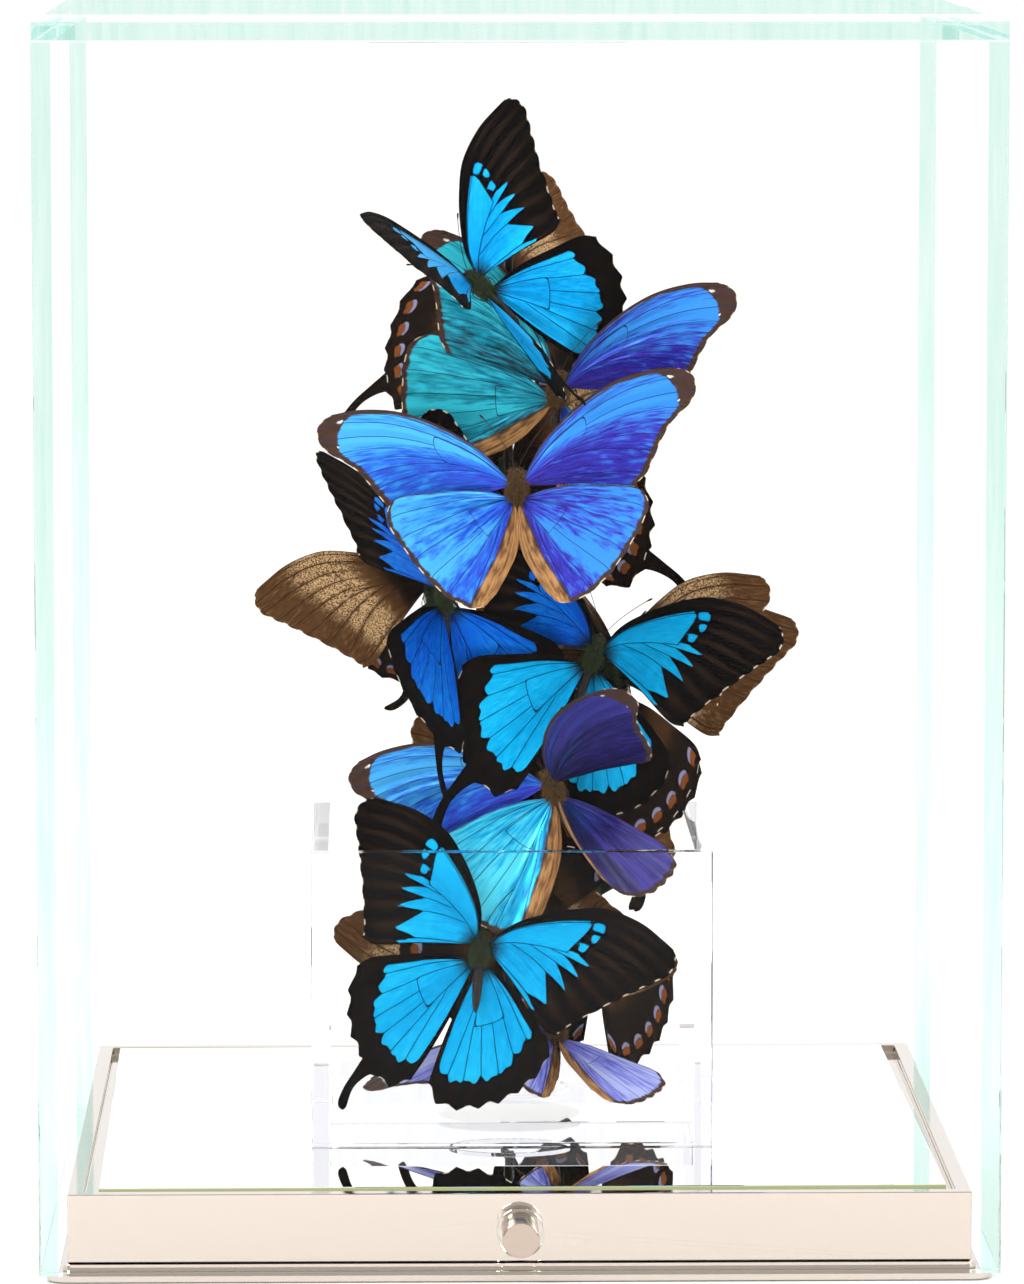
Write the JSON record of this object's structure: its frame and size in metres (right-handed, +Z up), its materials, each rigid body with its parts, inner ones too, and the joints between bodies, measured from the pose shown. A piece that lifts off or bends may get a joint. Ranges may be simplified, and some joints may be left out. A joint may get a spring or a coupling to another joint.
{
  "type": "display case with mounted butterflies",
  "caption": "Glass hood on a mirror-topped steel plinth, with a column of blue mounted butterflies rising out of a clear box.",
  "frame": {"origin": "under the middle of the hood, on the surface that the case stands on", "axes": "+Z up, the front with the lock screw looks to -Y, +X to the viewer's right"},
  "size_m": [0.3, 0.309, 0.392],
  "materials": {
    "steel": "polished stainless steel",
    "mirror": "silvered mirror glass with a polished edge",
    "hood_glass": "clear float glass, pale green at its edges",
    "acrylic": "clear cast acrylic, polished edges",
    "swallowtail_wings": "dry scaled wings, metallic blue centres and velvet black borders",
    "morpho_wings": "dry scaled wings, silky metallic blue with brown tips"
  },
  "bodies": {
    "root": {"base_plate": "steel", "plinth": "steel", "lock_screw": "steel", "stem": "steel", "mirror_plate": "mirror", "glass_front": "hood_glass", "glass_back": "hood_glass", "glass_left": "hood_glass", "glass_right": "hood_glass", "glass_top": "hood_glass", "box_floor": "acrylic", "box_front": "acrylic", "box_back": "acrylic", "box_left": "acrylic", "box_right": "acrylic", "box_pad": "acrylic", "foot_disc": "acrylic", "swallowtail_crown": "swallowtail_wings", "swallowtail_left": "swallowtail_wings", "swallowtail_centre": "swallowtail_wings", "swallowtail_foot": "swallowtail_wings", "swallowtail_back_top": "swallowtail_wings", "swallowtail_back_upper": "swallowtail_wings", "swallowtail_back_left": "swallowtail_wings", "swallowtail_back_right": "swallowtail_wings", "swallowtail_back_far_right": "swallowtail_wings", "swallowtail_back_lower": "swallowtail_wings", "swallowtail_back_foot_left": "swallowtail_wings", "swallowtail_back_foot_right": "swallowtail_wings", "morpho_upper": "morpho_wings", "morpho_middle": "morpho_wings", "morpho_lower": "morpho_wings", "morpho_floor": "morpho_wings"}
  },
  "joints": []
}
